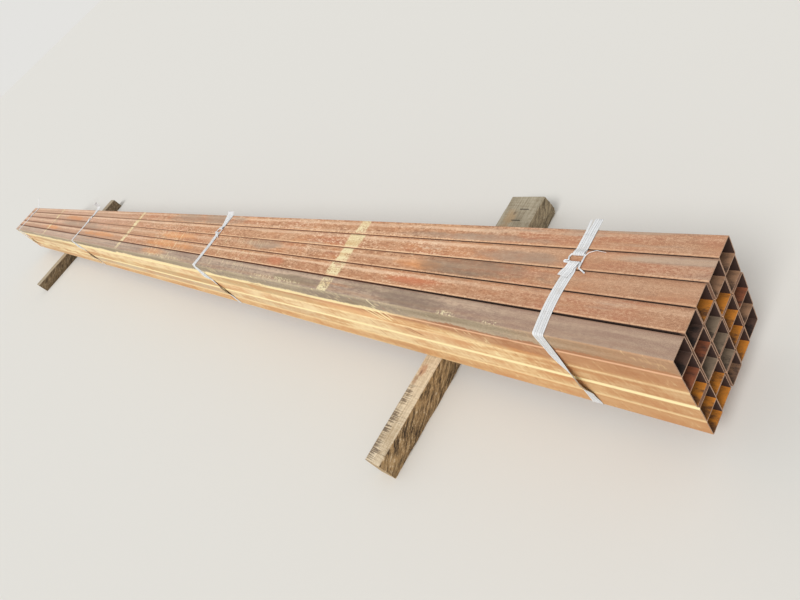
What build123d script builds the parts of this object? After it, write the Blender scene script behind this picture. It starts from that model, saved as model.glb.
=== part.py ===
"""A strapped stack of square steel tubing that lies on rough timber bearers.

Twenty-five lengths of square tube lie five wide and five high. Four woven cord straps go round them,
each closed on top by a wire buckle: both ends of the strap loop round a bar of the buckle and lie back
on themselves, one as a short folded end and one as a long free tail. The stack lies on two lines of
timber: at one station two timbers of different width meet under the stack, at the other lies one.

Millimetres. X runs along the tubes, with the end that the viewer stands at on +X. Y points away from
the viewer. Z points up from the ground, and the origin is on the ground at the middle of the stack.
"""

import os

from build123d import *

# Tube stock: two inch square, twenty feet long
tube_side = 50.8
tube_wall = 2.1
tube_corner = 4.0
tube_length = 6096.0

# The stack of tubes
rows = 5
columns = 5
row_gap = 0.3
end_step = 0.8
end_levels = 5
# The gaps between the columns, row by row from the lowest; in every row they add up to the same
column_gaps = (
    (0.6, 1.4, 2.4, 1.6),
    (1.2, 1.4, 2.2, 1.2),
    (1.8, 2.6, 1.2, 0.4),
    (2.8, 2.0, 0.4, 0.8),
    (3.2, 1.4, 0.6, 0.8),
)

# Bearers: rough timbers with one waney side, under the tubes
bearer_height = 75.0
bearer_reach = 457.2
bearer_bulge = 9.0
bearer_foot = 4.0
bearer_joint = 6.0
narrow_bearer_width = 58.0
wide_bearer_width = 121.0
rear_bearer_width = 94.0
front_bearer_from_end = 730.0
rear_bearer_from_end = 1003.0
seat_gap = 0.3

# Straps: woven cord strap, measured from the tube end that is nearer
strap_width = 25.0
strap_thickness = 1.0
strap_clearance = 0.3
front_strap_distances = (256.0, 1908.0)
rear_strap_distances = (2168.0, 176.0)

# Buckles: one bent wire each, with two bars across the strap
wire_diameter = 3.5
wire_sides = 8
bar_spacing = 21.0
bar_places = (41.0, 34.0, 45.0, 38.0)
rail_clearance = 0.2
rail_bow = 3.0
buckle_corner = 2.6
ear_reach = 9.0
ear_spacing = 4.8
prong_drop = 12.0
prong_out = 18.0
prong_slope = 11.0

# The folded ends of each strap
fold_lengths = (34.0, 40.0, 38.0, 36.0)
ramp_start = 4.0
ramp_length = 14.0
ramp_radius = 6.0
tail_bend = 10.0
tail_split_width = 2.0
tail_split_length = 31.0
tail_split_offset = 4.0
split_tails = (True, False, False, False)
# Each free tail runs to these points, measured out and up from the far top edge of the stack
tail_points = (
    ((27.0, -2.0),),
    ((8.0, 9.0),),
    ((19.0, 4.0), (21.0, 38.0)),
    ((71.0, 55.0),),
)


def tubes_across(row, count):
    """How far the first tubes of a row reach, with the gap that follows each of them."""
    gaps = column_gaps[row % len(column_gaps)]
    return sum(tube_side + gaps[column % len(gaps)] for column in range(count))


# Levels and edges of the stack
row_pitch = tube_side + row_gap
stack_width = tubes_across(0, columns - 1) + tube_side
stack_height = rows * tube_side + (rows - 1) * row_gap
stack_bottom = bearer_height + seat_gap
stack_top = stack_bottom + stack_height
stack_edge = stack_width / 2
front_end = tube_length / 2
rear_end = -tube_length / 2

# Levels of the strap's centre line
half_strap = strap_thickness / 2
wire_radius = wire_diameter / 2
strap_side = stack_edge + strap_clearance + half_strap
strap_under = stack_bottom - strap_clearance - half_strap
strap_over = stack_top + strap_clearance + half_strap
strap_bend = tube_corner + strap_clearance + half_strap
doubled_level = strap_over + strap_thickness + strap_clearance
loop_radius = wire_radius + strap_clearance + half_strap
wire_level = strap_over + loop_radius
loop_level = wire_level + loop_radius
# Two bends of this radius make one half turn round a bar
half_turn_bend = 0.98 * loop_radius


def end_shift(row, column):
    """How far a tube is slid along, in even steps both ways, so that the ends are uneven as a stack's are."""
    level = (3 + row + 3 * column + 4 * row * column) % end_levels
    return end_step * (level - (end_levels - 1) / 2)


def make_tube(row, column):
    """One length of square tube, with rounded corners outside and in."""
    bore_side = tube_side - 2 * tube_wall
    bore_corner = max(tube_corner - tube_wall, 0.3 * tube_wall)
    outside = RectangleRounded(tube_side, tube_side, tube_corner)
    section = Plane.YZ * (outside - RectangleRounded(bore_side, bore_side, bore_corner))
    y = (tube_side - stack_width) / 2 + tubes_across(row, column)
    z = stack_bottom + tube_side / 2 + row * row_pitch
    return Pos(rear_end + end_shift(row, column), y, z) * extrude(section, tube_length)


def make_bearer(station, width, near_y, far_y):
    """A sawn timber whose side towards the front end is waney: it swells out below the top edge."""
    left = -width / 2
    right = width / 2
    swell = (right + bearer_bulge, 0.45 * bearer_height)
    outline = Polyline((right + bearer_foot, 0), (left, 0), (left, bearer_height), (right, bearer_height))
    outline += ThreePointArc((right, bearer_height), swell, (right + bearer_foot, 0))
    section = Plane((station, near_y, 0), x_dir=(1, 0, 0), z_dir=(0, -1, 0)) * make_face(outline)
    return extrude(section, near_y - far_y)


def strap_path(near_bar, fold_length, tail):
    """The strap's centre line across the stack: short fold, near bar, once round, far bar, free tail."""
    far_bar = near_bar + bar_spacing
    near_turn = near_bar + loop_radius
    far_turn = far_bar - loop_radius
    corners = [
        (near_bar - fold_length, doubled_level, 0),
        (near_bar - ramp_length, doubled_level, ramp_radius),
        (near_bar - ramp_start, loop_level, ramp_radius),
        (near_turn, loop_level, half_turn_bend),
        (near_turn, strap_over, half_turn_bend),
        (-strap_side, strap_over, strap_bend),
        (-strap_side, strap_under, strap_bend),
        (strap_side, strap_under, strap_bend),
        (strap_side, strap_over, strap_bend),
        (far_turn, strap_over, half_turn_bend),
        (far_turn, loop_level, half_turn_bend),
        (far_bar + ramp_start, loop_level, ramp_radius),
        (far_bar + ramp_length, doubled_level, ramp_radius),
        (stack_edge, doubled_level, tail_bend),
    ]
    corners += [(stack_edge + out, doubled_level + up, tail_bend) for out, up in tail]
    points = [(y, z) for y, z, bend in corners]
    bends = [bend for y, z, bend in corners[1:-1]]
    return Plane.YZ * FilletPolyline(*points, radius=bends)


def make_strap(station, number):
    """One strap: a flat band swept along its centre line."""
    path = strap_path(bar_places[number], fold_lengths[number], tail_points[number])
    start = Plane(origin=path @ 0, x_dir=(1, 0, 0), z_dir=path % 0)
    band = sweep(start * Rectangle(strap_width, strap_thickness), path=path)
    if split_tails[number]:
        length = 2 * tail_split_length
        slot = Box(tail_split_width, length, 20 * strap_thickness)
        tail_tip = stack_edge + tail_points[number][-1][0]
        slot_y = tail_tip - tail_split_length + length / 2
        band -= Pos(-tail_split_offset, slot_y, doubled_level) * slot
    return Pos(station, 0, 0) * band


def make_buckle(station, number):
    """One wire: prong, rail, far bar, bowed rail, ear and near bar, all in one plane."""
    near_bar = bar_places[number]
    far_bar = near_bar + bar_spacing
    rail = strap_width / 2 + rail_clearance + buckle_corner
    ear = rail + ear_reach
    ear_top = near_bar + ear_spacing
    bow = (far_bar + ear_top) / 2
    points = [
        (rail + prong_out, near_bar - prong_drop - prong_slope),
        (rail, near_bar - prong_drop),
        (rail, far_bar),
        (-rail, far_bar),
        (-rail - rail_bow, bow),
        (-rail, ear_top),
        (-ear, ear_top),
        (-ear, near_bar),
        (rail - wire_radius - rail_clearance, near_bar),
    ]
    hairpin = 0.48 * ear_spacing
    bends = [buckle_corner, buckle_corner, buckle_corner, buckle_corner, hairpin, hairpin, hairpin]
    path = Plane.XY * FilletPolyline(*points, radius=bends)
    start = Plane(origin=path @ 0, z_dir=path % 0)
    section = start * RegularPolygon(wire_radius, wire_sides, rotation=180 / wire_sides)
    wire = sweep(section, path=path)
    return Pos(station, 0, wire_level) * wire


def make_nodes():
    """Every piece of the stack by its name."""
    nodes = {}
    for row in range(rows):
        for column in range(columns):
            nodes[f"tube_row{row + 1}_col{column + 1}"] = make_tube(row, column)
    stations = [front_end - distance for distance in front_strap_distances]
    stations += [rear_end + distance for distance in rear_strap_distances]
    for number, station in enumerate(stations):
        nodes[f"strap_{number + 1}"] = make_strap(station, number)
        nodes[f"buckle_{number + 1}"] = make_buckle(station, number)
    front_station = front_end - front_bearer_from_end
    rear_station = rear_end + rear_bearer_from_end
    half_joint = bearer_joint / 2
    nodes["bearer_front_near"] = make_bearer(front_station, narrow_bearer_width, -bearer_reach, -half_joint)
    nodes["bearer_front_far"] = make_bearer(front_station, wide_bearer_width, half_joint, bearer_reach)
    nodes["bearer_rear"] = make_bearer(rear_station, rear_bearer_width, -bearer_reach, bearer_reach)
    return nodes


os.makedirs("parts", exist_ok=True)
for name, solid in make_nodes().items():
    solid.label = name
    export_step(solid, f"parts/{name}.step")
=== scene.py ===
"""A strapped stack of rusty square steel tubes that lies on rough timber bearers.

The tubes are the frame's own solids under a rust finish. The woven straps, the bent wire buckles and the
timbers are worked out here as surfaces, in the places of the solids that they stand for.

Metres. X runs along the tubes, with the end that the camera is nearest to on +X. Y points away from the
camera's side, and Z points up from the ground. A pair of places along X stands for a gradual change, which
begins at the first and is complete at the second.
"""

import math

import bpy
import numpy as np
from mathutils import Matrix, Vector


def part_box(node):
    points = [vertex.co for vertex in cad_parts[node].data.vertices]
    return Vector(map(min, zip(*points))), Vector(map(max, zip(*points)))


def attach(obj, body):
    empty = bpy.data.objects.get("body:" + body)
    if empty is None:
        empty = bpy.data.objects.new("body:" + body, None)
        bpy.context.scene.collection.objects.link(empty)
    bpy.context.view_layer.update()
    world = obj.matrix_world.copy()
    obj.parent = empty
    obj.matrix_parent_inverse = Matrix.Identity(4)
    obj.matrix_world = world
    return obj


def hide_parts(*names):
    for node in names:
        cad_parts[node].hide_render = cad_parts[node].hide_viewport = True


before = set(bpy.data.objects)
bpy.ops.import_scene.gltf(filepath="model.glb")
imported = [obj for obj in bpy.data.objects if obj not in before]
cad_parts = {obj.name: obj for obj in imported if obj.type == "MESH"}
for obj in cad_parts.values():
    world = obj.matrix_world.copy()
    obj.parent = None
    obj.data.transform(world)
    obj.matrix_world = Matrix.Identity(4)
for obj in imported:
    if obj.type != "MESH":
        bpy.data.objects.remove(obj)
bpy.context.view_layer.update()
chance = np.random.default_rng(21)

# The stack, from the frame
rows = 5
columns = 5
tube_corner = 0.004
near_low, near_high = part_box("tube_row5_col1")
far_low, far_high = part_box("tube_row1_col5")
half_side = (near_high.z - near_low.z) / 2
stack_bottom = far_low.z
stack_top = near_high.z
near_edge = near_low.y
far_edge = far_high.y
front_end = near_high.x

# Straps and buckles: places across the stack, lengths, and each tail's points out from the stack and up
strap_width = 0.025
strap_thickness = 0.001
strap_clearance = 0.0003
wire_diameter = 0.0035
bar_spacing = 0.021
bar_places = (0.041, 0.034, 0.045, 0.038)
fold_lengths = (0.034, 0.04, 0.038, 0.036)
ramp_start = 0.004
ramp_length = 0.014
ramp_radius = 0.006
tail_bend = 0.01
tail_points = (
    ((0.027, -0.002),),
    ((0.008, 0.009),),
    ((0.019, 0.004), (0.021, 0.038)),
    ((0.071, 0.055),),
)
rail_clearance = 0.0002
rail_bow = 0.003
buckle_corner = 0.0026
ear_reach = 0.009
ear_spacing = 0.0048
prong_drop = 0.012
prong_out = 0.018
prong_slope = 0.011
wire_step = 0.0007
wire_sides = 14


def middle_of(name):
    """The middle of a solid of the frame."""
    low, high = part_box(name)
    return (low + high) / 2


def tone(red, green, blue):
    """A colour as a screen shows it, from 0 to 255, in the linear values that a shader takes."""
    shown = np.array([red, green, blue]) / 255
    linear = np.where(shown <= 0.04045, shown / 12.92, ((shown + 0.055) / 1.055) ** 2.4)
    return (*linear.tolist(), 1.0)


class Value:
    """A node's socket. Arithmetic on it adds Math nodes, so that a formula reads as one."""

    def __init__(self, nodes, socket):
        self.nodes = nodes
        self.socket = socket

    def maths(self, operation, *values):
        return self.nodes.node("ShaderNodeMath", {"operation": operation}, dict(enumerate(values)))

    def __add__(self, other):
        return self.maths("ADD", self, other)

    def __sub__(self, other):
        return self.maths("SUBTRACT", self, other)

    def __rsub__(self, other):
        return self.maths("SUBTRACT", other, self)

    def __mul__(self, other):
        return self.maths("MULTIPLY", self, other)

    __radd__ = __add__
    __rmul__ = __mul__

    def size(self):
        return self.maths("ABSOLUTE", self)

    def larger(self, other):
        return self.maths("MAXIMUM", self, other)

    def smaller(self, other):
        return self.maths("MINIMUM", self, other)

    def wave(self):
        return self.maths("SINE", self)

    def step(self, low, high):
        """0 below low, 1 above high and a smooth rise between; the other way round if low is the larger."""
        inputs = {"Value": self, "From Min": low, "From Max": high}
        return self.nodes.node("ShaderNodeMapRange", {"interpolation_type": "SMOOTHSTEP"}, inputs)


class Nodes:
    """The nodes of a material or of the world. Every one of them comes from node()."""

    def __init__(self, tree):
        self.tree = tree
        self.tree.nodes.clear()

    def node(self, kind, settings, inputs, output=0):
        """Adds a node: its settings first, then the values or the links of its sockets."""
        made = self.tree.nodes.new(kind)
        for name, setting in settings.items():
            setattr(made, name, setting)
        for name, given in inputs.items():
            if isinstance(given, Value):
                self.tree.links.new(given.socket, made.inputs[name])
            else:
                made.inputs[name].default_value = given
        return Value(self, made.outputs[output]) if made.outputs else None


class Finish(Nodes):
    """A procedural material. Its patterns lie on the object's coordinates, and colours go through mix()."""

    def __init__(self, name):
        self.material = bpy.data.materials.new(name)
        self.material.use_nodes = True
        super().__init__(self.material.node_tree)
        self.place = self.node("ShaderNodeTexCoord", {}, {}, "Object")

    def axes(self, vector):
        """The three parts of a vector."""
        split = self.node("ShaderNodeSeparateXYZ", {}, {0: vector})
        return [Value(self, socket) for socket in split.socket.node.outputs]

    def noise(self, place, scale, detail, roughness):
        inputs = {"Vector": place, "Scale": scale, "Detail": detail, "Roughness": roughness}
        return self.node("ShaderNodeTexNoise", {}, inputs)

    def grain(self, factors, shift, scale, detail, roughness):
        """Noise on object coordinates that are shifted and then stretched along each axis."""
        moved = self.node("ShaderNodeVectorMath", {"operation": "ADD"}, {0: self.place, 1: shift})
        place = self.node("ShaderNodeVectorMath", {"operation": "MULTIPLY"}, {0: moved, 1: factors})
        return self.noise(place, scale, detail, roughness)

    def slanted(self, along, across):
        """A place in two coordinates of its own, for marks that run at a slant."""
        return self.node("ShaderNodeCombineXYZ", {}, {0: along, 1: across})

    def surface(self, colour, roughness, height=None, depth=0.0, metal=0.0):
        """The finished surface; height, from 0 to 1, stands depth metres proud."""
        inputs = {"Base Color": colour, "Roughness": roughness, "Metallic": metal}
        if height is not None:
            bump = {"Height": height, "Strength": 1.0, "Distance": depth}
            inputs["Normal"] = self.node("ShaderNodeBump", {}, bump)
        shader = self.node("ShaderNodeBsdfPrincipled", {}, inputs)
        self.node("ShaderNodeOutputMaterial", {}, {"Surface": shader})
        return self.material


def mix(share, first, second):
    """The first colour where share is 0 and the second where it is 1. At least one of them is a Value."""
    nodes = next(given.nodes for given in (share, first, second) if isinstance(given, Value))
    return nodes.node("ShaderNodeMix", {"data_type": "RGBA"}, {0: share, 6: first, 7: second}, 2)


def spot(along, across, half_length, half_width, ragged, soft=0.4):
    """1 inside an oval about the place where along and across are 0, with an uneven and soft edge."""
    along = along * (1 / half_length)
    across = across * (1 / half_width)
    return (along * along + across * across + ragged).step(1 + soft, 1 - soft)


# Tones of the steel, as the photograph's sunlit parts show them
rust_pit = tone(128, 82, 56)
rust_brown = tone(172, 120, 86)
rust_tan = tone(216, 170, 132)
rust_pale = tone(246, 214, 180)
rust_orange = tone(214, 142, 86)
rust_red = tone(184, 108, 78)
rust_rose = tone(228, 186, 164)
scale_grey = tone(184, 164, 142)
scale_mauve = tone(146, 126, 114)
# A worn corner's pale tone, which also carries a painted highlight
corner_wear_and_highlight = tone(244, 204, 162)
# Painted shade in the grooves between the tubes, dark and browner
groove_shade_dark = tone(58, 38, 30)
groove_shade_brown = tone(124, 76, 54)
# The near side's straw tones: its rust's own yellow, with painted sunlight that makes it brighter than the
# top
straw = tone(236, 198, 142)
straw_pale = tone(254, 230, 178)
straw_brown = tone(206, 150, 98)
stain_brown = tone(170, 114, 76)
side_grey = tone(198, 178, 150)
side_olive = tone(142, 124, 98)
side_dun = tone(194, 162, 118)
side_cream = tone(246, 220, 174)
stain_grey = tone(166, 142, 122)
stain_dark = tone(130, 111, 94)
stain_orange = tone(227, 154, 94)
stain_red = tone(206, 118, 80)
# Tones of the joints' painted highlight; the yellow one also marks pale scratches and strokes
joint_yellow = tone(255, 240, 184)
joint_pink = tone(232, 186, 148)
joint_cream = tone(252, 233, 179)
cut_pale = tone(194, 160, 134)
cut_brown = tone(158, 120, 96)
spacer_cream = tone(244, 230, 184)
spacer_brown = tone(214, 180, 128)

# The rust on the floors of the bores, orange, grey, red, dark or brown: each in two tones, the darker of
# which also carries painted shade towards the near side, and the tubes by row and column that have it
bore_rusts = (
    (
        tone(220, 138, 46),
        tone(104, 70, 44),
        {(5, 3), (4, 4), (3, 4), (2, 4), (1, 4), (2, 2), (1, 2), (3, 1), (2, 1), (1, 1)},
    ),
    (tone(146, 126, 104), tone(74, 60, 50), {(4, 3), (3, 3), (3, 2), (2, 3)}),
    (tone(158, 92, 60), tone(78, 52, 42), {(4, 1), (3, 5), (4, 2)}),
    (tone(98, 72, 60), tone(44, 34, 30), {(5, 1), (5, 2), (1, 5)}),
    (tone(176, 134, 102), tone(84, 64, 52), {(5, 4), (5, 5), (4, 5), (2, 5), (1, 3)}),
)
# Painted shade on a bore's sides and far from its ends
bore_side_shade = tone(68, 46, 38)
bore_deep_shade = tone(26, 19, 17)

# How deep under a tube's faces the outside tones end and the bore's begin
bore_edge = (0.0016, 0.0019)
# How far from the ends a bore shows its tones, and how far in it is dark with painted shade
bore_lit = 0.025
bore_shade_depth = 0.15

# How the tones of every tube change along X
mottled = (2.95, 2.25)
flecked_pale = (2.8, 2.3)
# Painted shade: every tube turns browner towards the front end
front_shade_brown = (2.2, 3)
rear_pale = (1.0, -1.2)

# How the near side changes along X
low_edge_pale = (2.48, 2.28)
low_edge_drop = (1.5, 0.4)
stain_begin = (1.0, 1.5)
stain_lower = (1.5, 1.9)
stain_lowest = (2.45, 2.72)
stain_browner = (2.2, 2.5)
strokes_darker = (1.2, 2.0)
joint_wider = (2.35, 2.0)
joint_pinker = (2.2, 2.48)
# Painted shade: the near side turns browner towards the front end
side_front_shade = (2.62, 2.98)
side_rear_grey = (0.4, -2.4)
# The heights from a tube's middle between which the stain and the grey of the near side fade in
stain_edge = (0.006, 0.022)
grey_edge = (-0.02, -0.012)
# How far a joint's bright band of wear and painted highlight reaches: in rows 2 and 3, in the others, and
# what it gains as it widens
joint_wide = 0.009
joint_narrow = 0.0045
joint_gain = 0.0055

# How the top row and the tubes' corners change along X
stripes_stronger = (2.75, 2.4)
# The corners' painted highlight weakens towards the rear and towards the front end
highlight_from_rear = (0.2, 1.2)
highlight_from_front = (2.9, 2.2)
# Painted shade along the top row's edges darkens towards the rear, and that in the grooves turns browner
# towards the front
edge_shade_darker = (0.6, -1.6)
groove_shade_browner = (2.65, 2.25)
# How bright the worn corner and its painted highlight are on each column behind the first
corner_highlight_strength = {2: 0.85, 3: 0.6, 4: 0.9, 5: 0.7}

# Marks that spacers left across the top row: place along X, and how wide beside the first
spacer_marks = ((2.048, 1.0), (0.065, 0.75), (-1.842, 0.75))
# Half their width on each column, and how much of them is worn away
mark_widths = (0.026, 0.031, 0.027, 0.035, 0.022)
mark_wear = (0.5, 0.46, 0.46, 0.43, 0.47)
mark_edge = 0.004

# Stains on the top row: column, place along X, place across the tube, half length, half width, tone
top_stains = (
    (5, 2.5, -0.012, 0.2, 0.009, stain_grey),
    (4, 2.64, -0.008, 0.11, 0.014, stain_grey),
    (3, 2.36, -0.004, 0.07, 0.012, stain_orange),
    (3, 2.56, 0.004, 0.17, 0.026, stain_dark),
    (2, 2.38, -0.002, 0.085, 0.012, stain_red),
    (2, 1.7, -0.004, 0.045, 0.016, stain_red),
    (3, 1.56, 0.006, 0.12, 0.016, stain_grey),
    (3, 0.76, 0.0, 0.2, 0.016, stain_orange),
    (2, 0.7, 0.0, 0.22, 0.016, stain_orange),
    (1, 0.6, 0.004, 0.16, 0.016, stain_orange),
    (2, -0.45, 0.0, 0.28, 0.014, stain_orange),
    (2, -1.75, 0.0, 0.3, 0.014, stain_orange),
    (3, -0.95, 0.0, 0.6, 0.024, stain_grey),
    (4, -1.3, 0.0, 0.3, 0.018, rust_orange),
    (5, 0.9, 0.0, 0.4, 0.024, stain_grey),
    (1, 2.4, -0.002, 0.12, 0.022, stain_dark),
    (1, 2.22, 0.01, 0.1, 0.012, side_olive),
    (1, 1.9, -0.006, 0.16, 0.012, side_olive),
)
# Stripes along the top row: column, place across the tube, half width, strength and tone
top_stripes = (
    (1, 0.011, 0.007, 0.3, rust_pale),
    (1, -0.013, 0.007, 0.25, stain_brown),
    (2, 0.011, 0.007, 0.55, rust_pale),
    (2, -0.008, 0.008, 0.35, stain_brown),
    (3, 0.004, 0.009, 0.4, rust_pale),
    (3, -0.017, 0.005, 0.3, stain_brown),
    (4, 0.014, 0.008, 0.55, rust_pale),
    (5, 0.011, 0.007, 0.5, rust_pale),
    (5, -0.017, 0.005, 0.3, rust_pale),
    (5, -0.002, 0.006, 0.25, stain_brown),
)
# Where the top row's first columns are scratched: place along X, half length and how much, from 0 to 1
scratched = ((0.7, 0.24, 1.0), (1.35, 0.3, 0.4))
scratched_columns = 3

# Scuffs with painted sheen along the stack's near top corner: place along X, how far in from the corner and
# half length
corner_scuffs_and_sheen = ((2.672, 0.003, 0.018), (2.54, 0.005, 0.03), (1.77, 0.01, 0.15), (0.74, 0.012, 0.24))
scuff_half_width = 0.008

# Stretches of the near side in tones of their own: row, from and to along X, strength and tone
stretch_fade = 0.15
side_stretches = (
    (2, 2.05, 2.6, 0.4, side_cream),
    (2, 1.2, 1.9, 0.3, side_grey),
    (2, -1.0, 1.15, 0.6, side_grey),
    (3, 2.05, 2.55, 0.45, side_cream),
    (3, 1.2, 1.95, 0.5, side_cream),
    (3, 0.25, 1.15, 0.65, side_dun),
    (3, -0.9, 0.15, 0.3, side_dun),
    (3, -2.3, -1.05, 0.65, side_cream),
    (4, 1.2, 1.95, 0.55, side_dun),
    (4, 1.95, 2.35, 0.45, stain_orange),
    (4, -0.95, 1.1, 0.7, side_cream),
    (4, -2.3, -1.1, 0.55, side_dun),
    (5, -2.0, 1.25, 0.45, side_olive),
)

# Slanting scratches of the near side: row, place along X, height from the tube's middle, reach up and down,
# half width, how much X it gains on its way down, and tone
side_scratches = (
    (5, 2.266, 0.01, 0.019, 0.0034, 0.25, spacer_cream),
    (5, 2.262, -0.016, 0.014, 0.0034, 0.6, joint_yellow),
    (4, 2.222, 0.004, 0.026, 0.0055, 1.1, joint_yellow),
    (4, 2.246, 0.006, 0.026, 0.005, 0.9, joint_yellow),
    (4, 2.272, 0.008, 0.028, 0.006, 0.6, joint_yellow),
    (4, 2.296, 0.012, 0.016, 0.0045, 0.6, straw_pale),
    (4, 2.234, 0.01, 0.01, 0.004, 1.0, stain_brown),
    (4, 2.284, 0.014, 0.009, 0.004, 0.6, stain_brown),
    (3, 2.352, 0.008, 0.016, 0.0075, 1.6, stain_brown),
    (3, 2.332, 0.006, 0.011, 0.006, 1.5, stain_brown),
)

# How bright the painted highlight along the joint above each row is on the near side, from the lowest row
# up
joint_highlight_strengths = (0.45, 1.0, 0.35, 0.8, 0.12)


def entries(table, line):
    """What a table says about the row or column that each of its entries begins with."""
    return [entry[1:] for entry in table if entry[0] == line]


def toned_stretches(row, x, uneven, colour):
    """Long stretches in tones of their own, uneven and faded out at both ends."""
    for begin, end, strength, shade in entries(side_stretches, row):
        begun = x.step(begin - stretch_fade, begin + stretch_fade)
        there = begun * x.step(end + stretch_fade, end - stretch_fade)
        colour = mix(there * (uneven * 0.9 + 0.5) * strength, colour, shade)
    return colour


def slanting_scratches(row, x, up, colour):
    """Scratches across a tube of the near side, each faded out at both ends."""
    for place, height, reach, half_width, gain, shade in entries(side_scratches, row):
        aside = (x - place + (up - height) * gain).size()
        scratch = aside.step(1.3 * half_width, 0.4 * half_width)
        scratch = (up - height).size().step(reach, 0.6 * reach) * scratch
        colour = mix(scratch * 0.9, colour, shade)
    return colour


def side_colour(row, x, up, grain, patches, streaks, drifts, strokes):
    """The weathered near side: grey scale on the top tube, a ragged brown stain on the next, straw below in
    painted sunlight, worn joints with a painted highlight, painted shade on the lowest row and at the front
    end, and slanting scratches."""
    hatch = strokes * 0.25 + patches * 0.35 + grain * 0.2 + streaks * 0.2
    ragged = (patches - 0.5) * 0.036 + (strokes - 0.5) * 0.02
    uneven = (patches * 0.45 + strokes * 0.2 + streaks * 0.15 + grain * 0.2).step(0.42, 0.57)
    if row == rows:
        grey = mix((grain * 0.4 + streaks * 0.3 + drifts * 0.3).step(0.38, 0.6), side_olive, side_grey)
        grey = mix(patches.step(0.5, 0.62) * 0.6, grey, scale_mauve)
        grey = mix((strokes * 0.3 + patches * 0.7).step(0.56, 0.66) * 0.45, grey, straw_pale)
        grey = toned_stretches(row, x, uneven, grey)
        below = mix(x.step(*low_edge_pale), stain_brown, straw_pale)
        edge = x.step(*low_edge_drop) * -0.011 + ragged
        colour = mix((up + edge).step(*grey_edge), below, grey)
    else:
        colour = mix(hatch.step(0.4, 0.56), straw_brown, straw)
        pale = (strokes * 0.15 + patches * 0.35 + drifts * 0.25 + streaks * 0.25).step(0.48, 0.6)
        colour = mix(pale * 0.8, colour, straw_pale)
        colour = mix((patches * 0.5 + drifts * 0.5).step(0.47, 0.38) * 0.45, colour, rust_orange)
        colour = toned_stretches(row, x, uneven, colour)
    if row == rows - 1:
        lower = x.step(*stain_lowest) * 0.022 + x.step(*stain_lower) * 0.008
        orange = mix(x.step(*stain_browner), rust_orange, stain_brown)
        stain = (up + ragged * 1.3 + lower).step(*stain_edge) * x.step(*stain_begin)
        rusted = mix(hatch.step(0.4, 0.58), stain_brown, mix(grain, orange, rust_tan))
        colour = mix(stain * 0.8, colour, rusted)
    # Painted shade: the lowest row's near side is browner
    if row == 1:
        colour = mix(0.5, colour, straw_brown)
    broken = patches.step(0.44, 0.54)
    dark_strokes = strokes.step(0.38, 0.31) * x.step(*strokes_darker)
    colour = mix(dark_strokes * broken * 0.55, colour, stain_brown)
    colour = mix(strokes.step(0.62, 0.68) * broken * 0.6, colour, joint_yellow)
    # Painted shade: browner towards the front end
    front_shade = (x + ragged * 6).step(*side_front_shade) * 0.6
    colour = mix(front_shade, colour, mix(patches, stain_brown, straw_brown))
    colour = joint_colour(row, x, up, patches, streaks, colour)
    colour = slanting_scratches(row, x, up, colour)
    return mix(x.step(*side_rear_grey) * 0.2, colour, side_grey)


def joint_colour(row, x, up, patches, streaks, colour):
    """The corners along the joints above and below a tube of the near side, worn and with a painted
    highlight.
    """
    above = joint_highlight_strengths[row - 1]
    below = joint_highlight_strengths[row - 2] if row > 1 else 0.5
    strength = up.step(-0.001, 0.001) * (above - below) + below
    reach = joint_wide if row in (2, 3) else x.step(*joint_wider) * joint_gain + joint_narrow
    joint = up.size().step(half_side - reach, reach * -0.4 + half_side)
    worn = (patches * 0.4 + streaks * 0.6).step(0.3, 0.46)
    bright = mix(x.step(*joint_pinker), joint_yellow, joint_pink) if row >= rows - 1 else joint_cream
    return mix(joint * worn * strength, colour, bright)


def striped(column, x, across, flecks, grain, streaks, colour):
    """The stripes along a tube of the top row, uneven at their edges and broken in places."""
    uneven = (streaks - 0.5) * 0.016 + (flecks - 0.5) * 0.01
    broken = (streaks * 0.6 + grain * 0.4).step(0.36, 0.54) * 0.7 + 0.3
    stronger = x.step(*stripes_stronger) * 0.7 + 0.3
    for aside, half_width, strength, shade in entries(top_stripes, column):
        stripe = (across - aside + uneven).size().step(half_width, 0.3 * half_width)
        colour = mix(stripe * broken * stronger * strength, colour, shade)
    return colour


def spacer_marked(column, x, flecks, grain, patches, streaks, colour):
    """The pale bands that spacers left across the top row, ragged at both sides and worn off in places."""
    worn = mark_wear[column - 1]
    left = (flecks * 0.4 + patches * 0.6).step(worn - 0.05, worn + 0.04)
    cream = mix((grain * 0.5 + streaks * 0.5).step(0.38, 0.56), spacer_brown, spacer_cream)
    for place, wide in spacer_marks:
        half_width = wide * mark_widths[column - 1]
        away = (x - place).size() + (patches - 0.5) * 0.04 + (flecks - 0.5) * 0.016
        band = away.step(half_width + mark_edge, half_width - mark_edge)
        colour = mix(band * (left * 0.85 + 0.08), colour, cream)
    return colour


def top_colour(column, x, across, flecks, grain, patches, streaks, strokes, colour):
    """The marks on a tube of the top row: stripes, stains, scratches, the spacers' bands, and scuffs with
    painted sheen along the near corner of the stack."""
    colour = striped(column, x, across, flecks, grain, streaks, colour)
    ragged = (patches - 0.5) * 5.0 + (grain - 0.5) * 1.5
    broken = (grain * 0.5 + streaks * 0.5).step(0.34, 0.58) * 0.5 + 0.25
    for place, aside, half_length, half_width, shade in entries(top_stains, column):
        stain = spot(x - place, across - aside, half_length, half_width, ragged, 1.0)
        colour = mix(stain * broken, colour, shade)
    if column <= scratched_columns:
        for place, half_length, many in scratched:
            there = (x - place).size().step(half_length, 0.7 * half_length)
            colour = mix(strokes.step(0.56, 0.63) * there * many * 0.8, colour, spacer_cream)
    colour = spacer_marked(column, x, flecks, grain, patches, streaks, colour)
    if column == 1:
        rubbed = (strokes * 0.4 + flecks * 0.6).step(0.47, 0.57)
        # Scuffs, partly a painted sheen, along the near corner
        for place, inward, half_length in corner_scuffs_and_sheen:
            aside = across + half_side - inward
            scuff = spot(x - place, aside, half_length, scuff_half_width, ragged * 0.5)
            colour = mix(scuff * rubbed * 0.7, colour, spacer_cream)
    return colour


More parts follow.
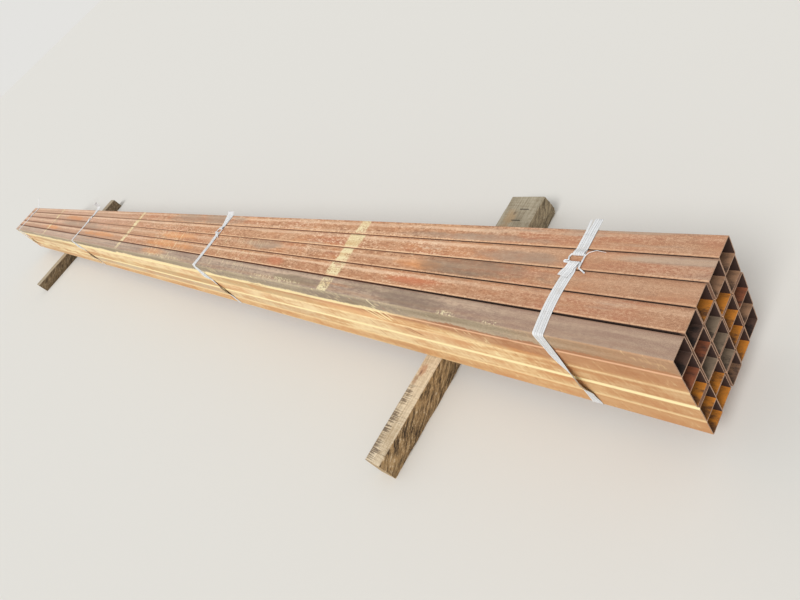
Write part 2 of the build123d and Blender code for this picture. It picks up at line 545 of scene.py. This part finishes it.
def corner_colour(row, column, x, across, up, facing_y, facing_z, patches, flecks, colour):
    """A tube's rounded corners: worn, with a painted highlight brightest at the near one of each tube
    behind the first column, and painted shade along the edges between the top row's tubes and where they
    turn towards a neighbour."""
    if column > 1:
        reach = across.size().smaller(up.size())
        rounding = reach.step(half_side - 1.2 * tube_corner, half_side - 0.8 * tube_corner)
        # Painted highlight: the near half of each corner is brighter, and more so away from the ends
        near_half = across.step(tube_corner, -tube_corner)
        middle = x.step(*highlight_from_rear) * x.step(*highlight_from_front)
        bright = (near_half * (middle * 0.4 + 0.3) + 0.1) * corner_highlight_strength[column]
        worn = rounding * (patches * 0.4 + flecks * 0.6).step(0.36, 0.5) * bright
        colour = mix(worn, colour, corner_wear_and_highlight)

    neighbours = (
        (column > 1, facing_y, -0.66, -0.88),
        (column < columns, facing_y, 0.58, 0.82),
        (row > 1, facing_z, -0.86, -0.97),
        (row < rows, facing_z, 0.86, 0.97),
    )
    neighbour_shade = 0.0
    for present, facing, low, high in neighbours:
        if present:
            neighbour_shade = facing.step(low, high).larger(neighbour_shade)
    # Painted shade along the edges between the top row's tubes
    if row == rows and column > 1:
        edge = across.step(-half_side + 0.011, -half_side + 0.004) * x.step(*edge_shade_darker)
        colour = mix(edge * 0.7, colour, rust_pit)
    if row == rows and column < columns:
        edge = across.step(half_side - 0.008, half_side - 0.002)
        colour = mix(edge * 0.45, colour, rust_pit)
    # Painted shade where a face turns towards a neighbour, browner towards the front and giving way to the
    # cut's tone at the end
    dirt_and_shade = mix((x + patches * 0.3).step(*groove_shade_browner) * 0.85, groove_shade_dark, groove_shade_brown)
    dirt_and_shade = mix(x.step(front_end - 0.012, front_end - 0.003) * 0.6, dirt_and_shade, cut_brown)
    return mix(neighbour_shade, colour, dirt_and_shade)


def bore_colour(finish, row, column, x, across, facing_z, own, grain):
    """The inside of a tube: loose rust on its floor, deeper in tone at the near side with painted shade,
    painted shade on its sides, and darker still far from the ends with painted shade."""
    light, dark = [tones for *tones, tubes in bore_rusts if (row, column) in tubes][0]
    cloud = finish.grain((0.5, 1, 1), own, 55, 4, 0.65)
    reach = chance.uniform(-0.03, -0.005)
    # Loose rust and painted shade: the floor is darker towards the near side
    shade_and_drift = (across + (cloud - 0.5) * 0.1).step(reach, reach + 0.03)
    mottle = (cloud * 0.6 + grain * 0.4).step(0.32, 0.64)
    loose = mix((shade_and_drift * 0.4 + mottle * 0.6).step(0.05, 0.95), dark, light)
    # Painted shade on the walls that don't face up, and far from the ends
    inside = mix(facing_z.step(0.1, 0.85), bore_side_shade, loose)
    return mix(x.size().step(front_end - bore_shade_depth, front_end - bore_lit), bore_deep_shade, inside)


def steel_finish(name, row, column):
    """Rust over mill scale: fine speckle, streaks along the tube, stains and drifts of other tones, pale
    cut ends, and what its place in the stack left on it."""
    middle = middle_of(name)
    finish = Finish(f"rusty_steel_{name}")
    x, y, z = finish.axes(finish.place)
    facing_x, facing_y, facing_z = finish.axes(finish.node("ShaderNodeTexCoord", {}, {}, "Normal"))
    across = y - middle.y
    up = z - middle.z
    bore = across.size().larger(up.size()).step(half_side - bore_edge[0], half_side - bore_edge[1])
    cut = facing_x.size().step(0.6, 0.8)

    own = (chance.uniform(0, 40), 0, 0)
    streaks = finish.grain((0.4, 8, 8), own, 6, 4, 0.62)
    patches = finish.grain((0.6, 1.5, 1.5), own, 13, 4, 0.65)
    drifts = finish.grain((0.5, 1, 1), own, 4, 3, 0.55)
    flecks = finish.grain((0.55, 1, 1), own, 270, 3, 0.65)
    specks = finish.noise(finish.place, 620, 2, 0.6)
    grain = flecks * 0.55 + specks * 0.45
    mottles = finish.grain((0.32, 1, 1), own, 180, 4, 0.72)
    mottles = (mottles - specks) * (x.step(*mottled) * 0.6 + 0.4) + specks
    stroke = finish.slanted(x + across * 2.2 - up * 2.2, x * 10.0 + across * 3.5 + up * 2.7)
    strokes = finish.noise(stroke, 13, 3, 0.55)

    spots = (mottles * 0.5 + grain * 0.35 + streaks * 0.15).step(0.4, 0.6)
    rust = mix(spots, rust_brown, rust_tan)
    warm = mix((streaks * 0.5 + grain * 0.5).step(0.42, 0.6), rust_red, rust_orange)
    rust = mix((patches * 0.4 + drifts * 0.4 + grain * 0.2).step(0.46, 0.6) * 0.6, rust, warm)
    pale = (mottles * 0.4 + flecks * 0.3 + drifts * 0.3).step(0.51, 0.62)
    rust = mix(pale * (x.step(*flecked_pale) * 0.4 + 0.45), rust, rust_pale)
    pits = (mottles * 0.4 + flecks * 0.3 + patches * 0.3).step(0.46, 0.37)
    rust = mix(pits * 0.6, rust, rust_pit)
    scale = (streaks * 0.4 + drifts * 0.6).step(0.57, 0.68)
    if column == 1 and row == rows:
        scale = (streaks * 0.5 + drifts * 0.5).step(0.28, 0.4)
    greys = mix((mottles * 0.6 + streaks * 0.4).step(0.42, 0.58), scale_mauve, scale_grey)
    rust = mix(scale * 0.85, rust, greys)
    # Painted shade: browner towards the front end
    rust = mix(x.step(*front_shade_brown) * 0.35, rust, mix(streaks, rust_brown, scale_mauve))
    rust = mix(x.step(*rear_pale) * 0.5, rust, mix(drifts, scale_grey, rust_rose))

    if row == rows:
        marked = top_colour(column, x, across, flecks, grain, patches, streaks, strokes, rust)
        rust = mix(facing_z.step(0.5, 0.9), rust, marked)
    if column == 1:
        side = side_colour(row, x, up, grain, patches, streaks, drifts, strokes)
        rust = mix(facing_y.step(-0.25, -0.7), rust, side)
    rust = corner_colour(row, column, x, across, up, facing_y, facing_z, patches, flecks, rust)
    colour = mix(bore, rust, bore_colour(finish, row, column, x, across, facing_z, own, grain))
    colour = mix(cut, colour, mix(specks.step(0.36, 0.6), cut_brown, cut_pale))

    return finish.surface(colour, 0.88 - scale * 0.22, grain * 0.8 + patches * 0.2, 0.0005)


def strap_finish():
    """White yarn: fine threads across the cords, painted shade in the grey valleys and along four darker
    creases, and a little dirt.
    """
    finish = Finish("woven_strap")
    weave = finish.node("ShaderNodeAttribute", {"attribute_name": "weave"}, {}, "Vector")
    along, across, valley = finish.axes(weave)
    threads = (along * (2 * math.pi / 0.0016)).wave() * 0.5 + 0.5
    dirt_and_shade = finish.noise(finish.place, 34, 4, 0.65)
    grime = finish.noise(finish.place, 210, 3, 0.6)
    colour = mix(threads * 0.3, tone(250, 251, 251), tone(228, 230, 232))
    # Painted shade in the valleys between the cords
    colour = mix(valley.step(0.25, 1.0) * 0.75, colour, tone(118, 118, 120))
    # Painted shade along four creases
    for place in (-0.0063, -0.0021, 0.0042, 0.0083):
        crease_shade = (across - place).size().step(0.0011, 0.0003)
        colour = mix(crease_shade * 0.55, colour, tone(140, 142, 146))
    colour = mix((dirt_and_shade + grime * 0.3).step(0.6, 0.9) * 0.4, colour, tone(186, 176, 164))
    return finish.surface(colour, 0.58, threads * 0.6 + grime * 0.4, 0.00018)


def wire_finish():
    """Drawn wire with a pale phosphate coat, rubbed brighter in places."""
    finish = Finish("buckle_wire")
    rub = finish.noise(finish.place, 120, 3, 0.6)
    fine = finish.noise(finish.place, 900, 2, 0.5)
    colour = mix(rub.step(0.35, 0.65), tone(206, 212, 216), tone(248, 250, 252))
    return finish.surface(colour, 0.46 - rub * 0.18, fine, 0.00006, 0.15)


# The timbers' tones: worn top, sawn top, light bark and dark bark
timber_tones = {
    "bearer_front_near": (tone(226, 210, 182), tone(178, 156, 124), tone(176, 144, 100), tone(56, 41, 28)),
    "bearer_front_far": (tone(178, 168, 146), tone(136, 124, 101), tone(160, 143, 114), tone(86, 74, 55)),
    "bearer_rear": (tone(186, 172, 148), tone(140, 124, 98), tone(128, 108, 80), tone(72, 58, 42)),
}
# Where the saw left ticks on the near timber's top: place along Y and half length
tick_places = ((-0.425, 0.05), (-0.34, 0.06), (-0.255, 0.04))
# Knots and stains on the tops: place along X and Y, half sizes and tone
timber_spots = {
    "bearer_front_near": (
        (2.308, -0.176, 0.012, 0.016, tone(180, 126, 92)),
        (2.306, -0.184, 0.003, 0.008, tone(96, 58, 40)),
        (2.3, -0.212, 0.007, 0.016, tone(150, 112, 84)),
    ),
    "bearer_front_far": (
        (2.292, 0.378, 0.02, 0.026, tone(178, 148, 108)),
        (2.286, 0.335, 0.018, 0.012, tone(172, 142, 106)),
        (2.304, 0.392, 0.006, 0.008, tone(96, 82, 62)),
    ),
}
# Slots cut in the far timber's top, painted dark as the shade inside them: place along X and Y
timber_slots = ((2.331, 0.407), (2.322, 0.363))


def timber_finish(name, station, half_width):
    """Rough sawn softwood: grain along Y, knots, ticks that the saw left, slots painted dark with their
    shade, torn bark on one side, a weathered other side, and end grain."""
    finish = Finish(f"rough_timber_{name}")
    x, y, z = finish.axes(finish.place)
    facing_x, facing_y, _ = finish.axes(finish.node("ShaderNodeTexCoord", {}, {}, "Normal"))
    light, sawn_tone, bark_light, bark_dark = timber_tones[name]
    shift = (0, chance.uniform(0, 9), 0)
    grain = finish.grain((60, 2, 60), shift, 3.4, 5, 0.6)
    blotch = finish.grain((1, 0.6, 1), shift, 18, 4, 0.6)
    fine = finish.grain((1, 0.5, 1), shift, 300, 3, 0.6)
    bend = (blotch - 0.5) * 0.03
    strand = finish.slanted(y * 0.9 + z * 0.45, (z - y * 0.5 + bend) * 7.0)
    fibre = finish.noise(strand, 20, 4, 0.65)
    sawing = finish.grain((3, 60, 3), shift, 4, 3, 0.6)
    sawn = grain * 0.35 + blotch * 0.25 + fine * 0.2 + sawing * 0.2
    sawn = mix(sawn.step(0.38, 0.6), sawn_tone, light)
    for place_x, place_y, wide, deep, shade in timber_spots.get(name, ()):
        ragged = (blotch - 0.5) * 4.0 + (fine - 0.5) * 2.0
        knot = spot(x - place_x, y - place_y, wide, deep, ragged, 0.8)
        sawn = mix(knot * (grain * 0.6 + 0.3), sawn, shade)
    if name == "bearer_front_near":
        ticks = finish.grain((6, 190, 6), shift, 3, 2, 0.5)
        edge = x.step(station + 0.7 * half_width, station - 0.8 * half_width)
        there = 0.0
        for place, half_length in tick_places:
            there = (y - place).size().step(half_length, 0.4 * half_length) + there
        sawn = mix((ticks + edge * 0.24).step(0.68, 0.74) * there * 0.8, sawn, tone(88, 70, 54))
    if name == "bearer_front_far":
        for place_x, place_y in timber_slots:
            # Painted shade: each slot is a dark line on the flat top
            slot_shade = (y - place_y).size().step(0.0022, 0.0012)
            slot_shade = (x - place_x).size().step(0.018, 0.015) * slot_shade
            sawn = mix(slot_shade, sawn, tone(42, 36, 30))
    rough = fibre * 0.65 + blotch * 0.2 + fine * 0.15
    bark = mix(rough.step(0.38, 0.58), bark_dark, bark_light)
    bark = mix((fibre * 0.6 + fine * 0.4).step(0.54, 0.64) * 0.6, bark, light)
    colour = mix(facing_x.step(0.15, 0.45), sawn, bark)
    weathered = mix((fibre * 0.5 + grain * 0.5).step(0.42, 0.62), bark_dark, sawn_tone)
    colour = mix(facing_x.step(-0.4, -0.7), colour, weathered)
    rings = finish.grain((1, 0, 1.6), (0.4, 0, 0.2), 90, 2, 0.4)
    end_grain = mix(rings.step(0.4, 0.6), sawn_tone, bark_light)
    colour = mix(facing_y.size().step(0.6, 0.8), colour, end_grain)
    return finish.surface(colour, 0.9, grain * 0.3 + rough * 0.7, 0.0018)


def placed(name, data):
    """A new object in the scene."""
    made = bpy.data.objects.new(name, data)
    bpy.context.scene.collection.objects.link(made)
    return made


def unit(vectors):
    """Vectors divided by their own lengths."""
    return vectors / np.linalg.norm(vectors, axis=-1, keepdims=True)


def path_lengths(route):
    """How far along a route each of its points lies."""
    return np.concatenate([[0], np.cumsum(np.linalg.norm(np.diff(route, axis=0), axis=1))])


def rounded_path(corners, bends, step):
    """Straight runs joined by arcs. The arc of radius r at a corner that turns by t starts r tan(t / 2)
    before it, and its points lie r from a centre beside that start. Runs are then divided into steps."""
    corners = np.array(corners, float)
    stretches = [corners[:1]]
    for before, corner, after, bend in zip(corners, corners[1:], corners[2:], bends):
        arriving = unit(corner - before)
        leaving = unit(after - corner)
        turn = math.acos(np.clip(arriving @ leaving, -1, 1))
        side = unit(leaving - arriving * (arriving @ leaving))
        centre = corner - arriving * bend * math.tan(turn / 2) + side * bend
        angles = np.linspace(0, turn, 2 + int(turn / math.radians(15)))[:, None]
        stretches.append(centre + bend * (np.sin(angles) * arriving - np.cos(angles) * side))
    stretches.append(corners[-1:])
    route = np.concatenate(stretches)
    passed = path_lengths(route)
    divided = np.union1d(passed.round(7), np.arange(0, passed[-1], step).round(7))
    return np.stack([np.interp(divided, passed, places) for places in route.T], axis=1)


def eased(places, knots, values):
    """Values between knots. The share t of the way from one to the next is eased to t t (3 - 2 t), so that
    the slope has no sudden change."""
    knots = np.array(knots)
    values = np.array(values)
    index = np.clip(np.searchsorted(knots, places) - 1, 0, len(knots) - 2)
    part = np.clip((places - knots[index]) / (knots[index + 1] - knots[index]), 0, 1)
    part = part * part * (3 - 2 * part)
    return values[index] + (values[index + 1] - values[index]) * part


# Edges that turn by more than this are drawn sharp
sharp_angle = math.radians(42)


def rings_to_mesh(ring_sets, name, material, node_name, weave=None):
    """One closed mesh from sets of rings: quads from each ring to the next, and a polygon at each end."""
    vertices = []
    faces = []
    start = 0
    for rings in ring_sets:
        count, around = rings.shape[:2]
        ring = np.arange(count - 1)[:, None] * around + start
        here = np.arange(around)[None, :]
        ahead = (here + 1) % around
        after = ring + around
        quads = np.stack([ring + here, ring + ahead, after + ahead, after + here], axis=-1)
        faces += quads.reshape(-1, 4).tolist()
        faces.append((start + here[0, ::-1]).tolist())
        faces.append((start + (count - 1) * around + here[0]).tolist())
        vertices.append(rings.reshape(-1, 3))
        start += count * around
    mesh = bpy.data.meshes.new(name)
    mesh.from_pydata(np.concatenate(vertices).tolist(), [], faces)
    if weave is not None:
        attribute = mesh.attributes.new("weave", "FLOAT_VECTOR", "POINT")
        attribute.data.foreach_set("vector", np.concatenate(weave).astype(np.float32).ravel())
    mesh.materials.append(material)
    mesh.shade_smooth()
    mesh.set_sharp_from_angle(angle=sharp_angle)
    piece = placed(name, mesh)
    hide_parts(node_name)
    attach(piece, "root")


# The strap's points along its way, its cords, the points on each, and how deep the valleys between them are
strap_step = 0.005
cords = 12
points_each = 4
cord_relief = 0.55


def strap_section(low, high):
    """A slice of the strap's section, from low to high as shares of the width: how far across each point
    lies, its height, and how deep in a valley it is. Top and bottom, each cord is half a sine wave."""
    count = max(3, round(cords * points_each * (high - low)))
    share = np.linspace(low, high, count + 1)
    valley = 1 - np.abs(np.sin(math.pi * cords * share))
    height = strap_thickness / 2 * (1 - cord_relief * valley)
    across = (share - 0.5) * strap_width
    bottom = np.stack([across, -height, valley])
    top = np.stack([across, height, valley])
    return np.concatenate([bottom, top[:, ::-1]], axis=1)


def strap_route(number):
    """A strap's middle in the plane across the stack: fold, near bar, round the stack, far bar, tail."""
    beside = strap_clearance + strap_thickness / 2
    over = stack_top + beside
    under = stack_bottom - beside
    near = near_edge - beside
    far = far_edge + beside
    corner = tube_corner + beside
    loop = wire_diameter / 2 + beside
    half_turn = 0.98 * loop
    raised = over + 2 * loop
    doubled = over + strap_thickness + strap_clearance
    near_bar = bar_places[number]
    far_bar = near_bar + bar_spacing
    round_bar = (
        (ramp_length, doubled, ramp_radius),
        (ramp_start, raised, ramp_radius),
        (-loop, raised, half_turn),
        (-loop, over, half_turn),
    )
    stations = [(near_bar - fold_lengths[number], doubled, 0)]
    stations += [(near_bar - out, level, bend) for out, level, bend in round_bar]
    stations += [(near, over, corner), (near, under, corner), (far, under, corner), (far, over, corner)]
    stations += [(far_bar + out, level, bend) for out, level, bend in reversed(round_bar)]
    stations += [(far_edge, doubled, tail_bend)]
    stations += [(far_edge + out, doubled + up, tail_bend) for out, up in tail_points[number]]
    corners = [station[:2] for station in stations]
    return rounded_path(corners, [station[2] for station in stations[1:-1]], strap_step)


# How each strap comes down the near side: heights above the stack's bottom, and at each its turn in degrees
# about its own line, where the edge towards the front end stands off, and its drift towards that end
strap_turns = (
    ((0.25, 0.19, 0.102, 0.045, 0.008), (0, 6, 37, 8, 0), (0, 0.004, 0.022, 0.025, 0.026)),
    (
        (0.24, 0.19, 0.145, 0.105, 0.05, 0.008),
        (-6, -17, 6, 25, 3, 0),
        (0, 0.004, 0.008, 0.022, 0.016, 0.014),
    ),
    ((0.24, 0.2, 0.15, 0.11, 0.05, 0.008), (-8, -19, 4, 24, 4, 0), (0, 0.002, 0.01, 0.026, 0.024, 0.02)),
    ((0.24, 0.18, 0.11, 0.04, 0.008), (-4, -14, 16, 0, 0), (0, 0, 0.008, 0.01, 0.01)),
)
# Turn in degrees of each free tail at the stack's edge and at its tip, where the edge towards the rear end
# lifts, and how far past the far bar the turn begins
tail_turns = ((0, 0), (26, 34), (14, 60), (0, 0))
tail_start = 0.012
# How far along X each short fold's tip lies aside, and each strap bows between its buckle and the near edge
fold_drifts = (-0.0085, 0.002, -0.003, 0.002)
strap_bows = (-0.007, 0.002, -0.003, 0.0)
# The share of its drift that a strap has left at the bottom of the far side, and how far from the stack's
# top and bottom that side's straight run is taken
far_drift = 0.3
corner_margin = 0.01
# Between the near edge and its near bar a strap is gathered to this share of its width: how far from the
# bar, and over what length
gathered = 0.74
gather_place = 0.01
gather_length = 0.006
# How far the cords of a cut end differ in length
fray = 0.0013
# The first strap's tail is split: over what length, how far the band and the strips reach into each other,
# and each strip's bounds across the width and how far its tip spreads and lifts
split_length = 0.04
band_overlap = 0.001
strip_overlap = 0.004
strips = ((0.0, 0.2, -0.0065, 0.003), (0.25, 0.6, 0.0, 0.0), (0.63, 1.0, -0.0012, 0.0008))
# A loose thread of the first strap: its points out from the strap's edge, across the stack and above its
# top, its bends, its diameter, how much of that it loses towards its tip, its steps and its sides
loose_thread = (
    (0.004, 0.058, 0.0046),
    (0.009, 0.067, 0.0052),
    (0.022, 0.074, 0.004),
    (0.042, 0.0725, 0.0014),
)
thread_bends = (0.008, 0.01)
thread_diameter = 0.0016
thread_taper = 0.6
thread_step = 0.002
thread_sides = 8


def strap_line(number, station):
    """Where a strap's middle runs, its turn about that line, and the share of its width that it has there.
    It turns and drifts down the near side, and its fold, bow and tail lie a little aside."""
    flat = strap_route(number)
    y, z = flat.T
    passed = path_lengths(flat)
    near_bar = bar_places[number]
    near_side = np.flatnonzero(y < near_edge)
    low = stack_bottom + corner_margin
    high = stack_top - corner_margin
    far_side = np.flatnonzero((y > far_edge) & (z > low) & (z < high))
    heights, turns, drifts = np.array(strap_turns[number])
    stations = np.interp(stack_bottom + heights, z[near_side][::-1], passed[near_side][::-1])
    knots = [passed[near_side[0]], *stations, passed[near_side[-1]]]
    turn = eased(passed, knots, [0, *np.radians(turns), 0])
    past_buckle = near_bar + bar_spacing + tail_start
    tail_knots = [passed[y < past_buckle][-1], passed[y < far_edge][-1], passed[-1]]
    at_edge, at_tip = np.radians(tail_turns[number])
    tail_turn = eased(passed, tail_knots, [0, at_edge, at_tip])
    knots += [passed[far_side[0]], passed[far_side[-1]]]
    x = station + eased(passed, knots, [0, *drifts, drifts[-1], far_drift * drifts[-1], 0])
    fold = eased(passed / fold_lengths[number], [0, 0.6, 1], [1, 0.5, 0])
    share = np.clip((near_bar - y) / (near_bar - near_edge), 0, 1)
    x += fold_drifts[number] * fold + strap_bows[number] * np.sin(math.pi * share) * (z > stack_top)
    off = strap_width / 2 * np.abs(np.sin(turn))
    lift = strap_width / 2 * np.sin(np.minimum(tail_turn, at_edge)) * (z > stack_top)
    from_middle = (y - near_bar + gather_place) / gather_length
    width = 1 - (1 - gathered) * np.exp(-(from_middle**2)) * (z > stack_top)
    return np.stack([x, y - off, z + lift], axis=1), (turn + tail_turn)[:, None], width[:, None]


def make_strap(number):
    """A woven band: its section of cords is carried along its line and turned about it."""
    name = f"strap_{number + 1}"
    station = middle_of(name).x
    route, turn, gather = strap_line(number, station)
    forward = unit(np.gradient(route, axis=0))
    across = unit(np.array([1.0, 0, 0]) - forward * forward[:, :1])
    proud = np.cross(forward, across)
    turned = across * np.cos(turn) + proud * np.sin(turn)
    raised = proud * np.cos(turn) - across * np.sin(turn)

    passed = path_lengths(route)
    split = passed[-1] - split_length if number == 0 else passed[-1]
    bands = [(passed <= split + band_overlap, 0.0, 1.0, 0.0, 0.0)]
    if number == 0:
        bands += [(passed >= split - strip_overlap, *strip) for strip in strips]
    ring_sets = []
    weave = []
    for chosen, begin, end, spread, lift in bands:
        wide, thick, valley = strap_section(begin, end)
        beyond = np.clip((passed[chosen] - split) / split_length, 0, 1)[:, None] ** 1.5
        centre = route[chosen] + (turned[chosen] * spread + raised[chosen] * lift) * beyond
        width = turned[chosen] * gather[chosen]
        rings = centre[:, None] + width[:, None] * wide[:, None] + raised[chosen][:, None] * thick[:, None]
        frayed = chance.uniform(-fray, fray, len(wide) // 2)
        tip = np.concatenate([frayed, frayed[::-1]])
        rings[-1] += forward[chosen][-1] * tip[:, None]
        ring_sets.append(rings)
        weave.append(np.stack(np.broadcast_arrays(passed[chosen][:, None], wide, valley), axis=-1))
    if number == 0:
        points = np.array(loose_thread) + [station + strap_width / 2, 0, stack_top]
        line = rounded_path(points, thread_bends, thread_step)
        girth = thread_diameter / 2 * (1 - thread_taper * np.linspace(0, 1, len(line)))
        ring_sets.append(wire_rings(line, girth, thread_sides))
        weave.append(np.zeros((len(line), thread_sides, 3)))
    weave = [values.reshape(-1, 3) for values in weave]
    rings_to_mesh(ring_sets, f"woven_{name}", strap_material, name, weave)


def wire_rings(route, girth, around):
    """Rings of radius girth about the points of a route, each lying across the route."""
    forward = unit(np.gradient(route, axis=0))
    sideways = unit(np.cross(forward, [0, 0, 1.0]))
    upward = np.cross(forward, sideways)
    angle = np.linspace(0, 2 * math.pi, around, endpoint=False)[None, :, None]
    ring = sideways[:, None] * np.cos(angle) + upward[:, None] * np.sin(angle)
    return route[:, None] + np.reshape(girth, (-1, 1, 1)) * ring


def make_buckle(number):
    """One bent wire, round in section: prong, rail, far bar, bowed rail, ear and near bar. Near an end the
    rings shrink as those of a ball of the wire's radius do, so that the ends are round."""
    name = f"buckle_{number + 1}"
    level = middle_of(name).z
    station = middle_of(f"strap_{number + 1}").x
    near_bar = bar_places[number]
    far_bar = near_bar + bar_spacing
    radius = wire_diameter / 2
    rail = strap_width / 2 + rail_clearance + buckle_corner
    ear = rail + ear_reach
    ear_top = near_bar + ear_spacing
    corners = [
        (rail + prong_out, near_bar - prong_drop - prong_slope),
        (rail, near_bar - prong_drop),
        (rail, far_bar),
        (-rail, far_bar),
        (-rail - rail_bow, (far_bar + ear_top) / 2),
        (-rail, ear_top),
        (-ear, ear_top),
        (-ear, near_bar),
        (rail - radius - rail_clearance, near_bar),
    ]
    hairpin = 0.48 * ear_spacing
    flat = rounded_path(corners, [buckle_corner] * 4 + [hairpin] * 3, wire_step)
    route = np.stack([station + flat[:, 0], flat[:, 1], np.full(len(flat), level)], axis=1)
    passed = path_lengths(route)
    from_end = np.clip(np.minimum(passed, passed[-1] - passed), 0.03 * radius, radius)
    girth = np.sqrt(radius**2 - (radius - from_end) ** 2)
    rings = wire_rings(route, girth, wire_sides)
    rings_to_mesh([rings], f"wire_{name}", wire_material, name)


def ripples(first, second, lengths, seed, waves=9):
    """Uneven heights from -1 to 1 over two coordinates: the mean of sine waves of seeded directions and
    phases, with about the wave lengths given."""
    draws = np.random.default_rng(seed)
    total = 0
    for _ in range(waves):
        one, two = draws.uniform(-1, 1, 2) * 2 * math.pi
        phase = draws.uniform(0, 2 * math.pi)
        total += np.sin(first / lengths[0] * one + second / lengths[1] * two + phase)
    return total / waves


# The timbers' waney side bulges over its foot and is torn. The saw left ripples on the left side and the
# top, and the top is set in below the tubes and worn at its edges
bearer_bulge = 0.009
bearer_foot = 0.004
torn_depth = 0.0045
torn_inset = 0.0025
left_ripple = 0.0006
top_ripple = 0.0004
top_inset = 0.0005
worn_width = 0.006
worn_depth = 0.0012
timber_step = 0.005


def timber_section(half_width, height):
    """The timber's outline from the bottom left corner up, over the top and down the waney side, which is a
    parabola through the top edge, the bulge and the foot."""
    top = np.array([half_width, height])
    swell = np.array([half_width + bearer_bulge, 0.45 * height])
    foot = np.array([half_width + bearer_foot, 0])
    part = np.linspace(0, 1, 19)[1:, None]
    waney = (1 - part) * (1 - 2 * part) * top + 4 * part * (1 - part) * swell + part * (2 * part - 1) * foot
    left = np.stack([np.full(14, -half_width), np.linspace(0, height, 14)], axis=1)
    flat = np.stack([np.linspace(-half_width, half_width, 22)[1:], np.full(21, height)], axis=1)
    base = np.stack([np.linspace(foot[0], -half_width, 12)[1:-1], np.zeros(10)], axis=1)
    return np.concatenate([left, flat, waney, base])


def make_timber(name, seed):
    """A rough timber: its outline is carried along Y, with torn relief on the waney side, saw ripples on
    the left side and the top, and worn top edges. The base stays flat."""
    low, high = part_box(name)
    half_width = (high.x - low.x - bearer_bulge) / 2
    station = low.x + half_width
    height = high.z
    outline = timber_section(half_width, height)
    length = np.linspace(low.y, high.y, int((high.y - low.y) / timber_step))
    x, y = np.meshgrid(outline[:, 0], length)
    z, y = np.meshgrid(outline[:, 1], length)
    waney = np.clip((x - half_width) / (0.6 * bearer_bulge), 0, 1)
    torn = ripples(z, y, (0.03, 0.07), seed) + 0.7 * ripples(z - 0.5 * y, y, (0.007, 0.05), seed + 1)
    x += waney * (torn_depth * torn - torn_inset)
    left = x < -half_width + 1e-6
    x += left * left_ripple * (ripples(z, y, (0.05, 0.006), seed + 2) + 1)
    topside = z > height - 1e-6
    z += topside * (top_ripple * ripples(x, y, (0.08, 0.005), seed + 3) - top_inset)
    edge = topside * np.clip(1 - (half_width - np.abs(x)) / worn_width, 0, 1)
    z -= edge * worn_depth * (ripples(x, y, (0.3, 0.06), seed + 4) + 1)
    rings = np.stack([x + station, y, z], axis=-1)
    material = timber_finish(name, station, half_width)
    rings_to_mesh([rings], f"timber_{name}", material, name)


def make_stage():
    """A pale floor, even light from all round and one broad soft key from the near side. The world that the
    camera and mirrors see is brighter than the one that lights the stack."""
    mesh = bpy.data.meshes.new("floor")
    reach = 160.0
    corners = [(-reach, -reach, 0), (reach, -reach, 0), (reach, reach, 0), (-reach, reach, 0)]
    mesh.from_pydata(corners, [], [(0, 1, 2, 3)])
    mesh.materials.append(Finish("floor").surface(tone(222, 220, 214), 0.95))
    placed("floor", mesh)

    world = bpy.data.worlds.new("studio")
    world.use_nodes = True
    bpy.context.scene.world = world
    studio = Nodes(world.node_tree)
    looked = 0.0
    for kind in ("Camera", "Glossy", "Transmission"):
        looked = studio.node("ShaderNodeLightPath", {}, {}, f"Is {kind} Ray") + looked
    lit = studio.node("ShaderNodeBackground", {}, {"Color": tone(255, 255, 255), "Strength": 0.62})
    seen = studio.node("ShaderNodeBackground", {}, {"Color": tone(228, 227, 224), "Strength": 1.0})
    mixed = studio.node("ShaderNodeMixShader", {}, {0: looked, 1: lit, 2: seen})
    studio.node("ShaderNodeOutputWorld", {}, {"Surface": mixed})

    lamp = bpy.data.lights.new("key", "SUN")
    lamp.energy = 1.7
    lamp.angle = math.radians(24)
    towards_key = Vector((0.25, -0.75, 0.95))
    placed("key", lamp).rotation_euler = towards_key.to_track_quat("Z", "Y").to_euler()


# The camera stands over the near corner of the front end and looks along the stack, held at a tilt
camera_place = Vector((3.4472, -0.5578, 1.17))
camera_aim = Vector((2.38051, -0.11179, 0.33))
camera_roll = math.radians(-43.844)
camera_lens = 26.588


def make_camera():
    """The camera looks from its place to its aim, turned about its own axis by its roll."""
    data = bpy.data.cameras.new("camera")
    data.lens = camera_lens
    data.sensor_width = 36.0
    data.clip_start = 0.05
    data.clip_end = 400.0
    camera = placed("camera", data)
    looking = (camera_aim - camera_place).to_track_quat("-Z", "Y").to_matrix().to_4x4()
    camera.matrix_world = Matrix.Translation(camera_place) @ looking @ Matrix.Rotation(camera_roll, 4, "Z")
    bpy.context.scene.camera = camera


make_camera()
make_stage()
bpy.context.scene.view_settings.view_transform = "Standard"

for row in range(1, rows + 1):
    for column in range(1, columns + 1):
        name = f"tube_row{row}_col{column}"
        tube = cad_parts[name]
        tube.data.materials.clear()
        tube.data.materials.append(steel_finish(name, row, column))

strap_material = strap_finish()
wire_material = wire_finish()
for number in range(len(bar_places)):
    make_strap(number)
    make_buckle(number)
for number, name in enumerate(timber_tones):
    make_timber(name, 100 * number + 3)
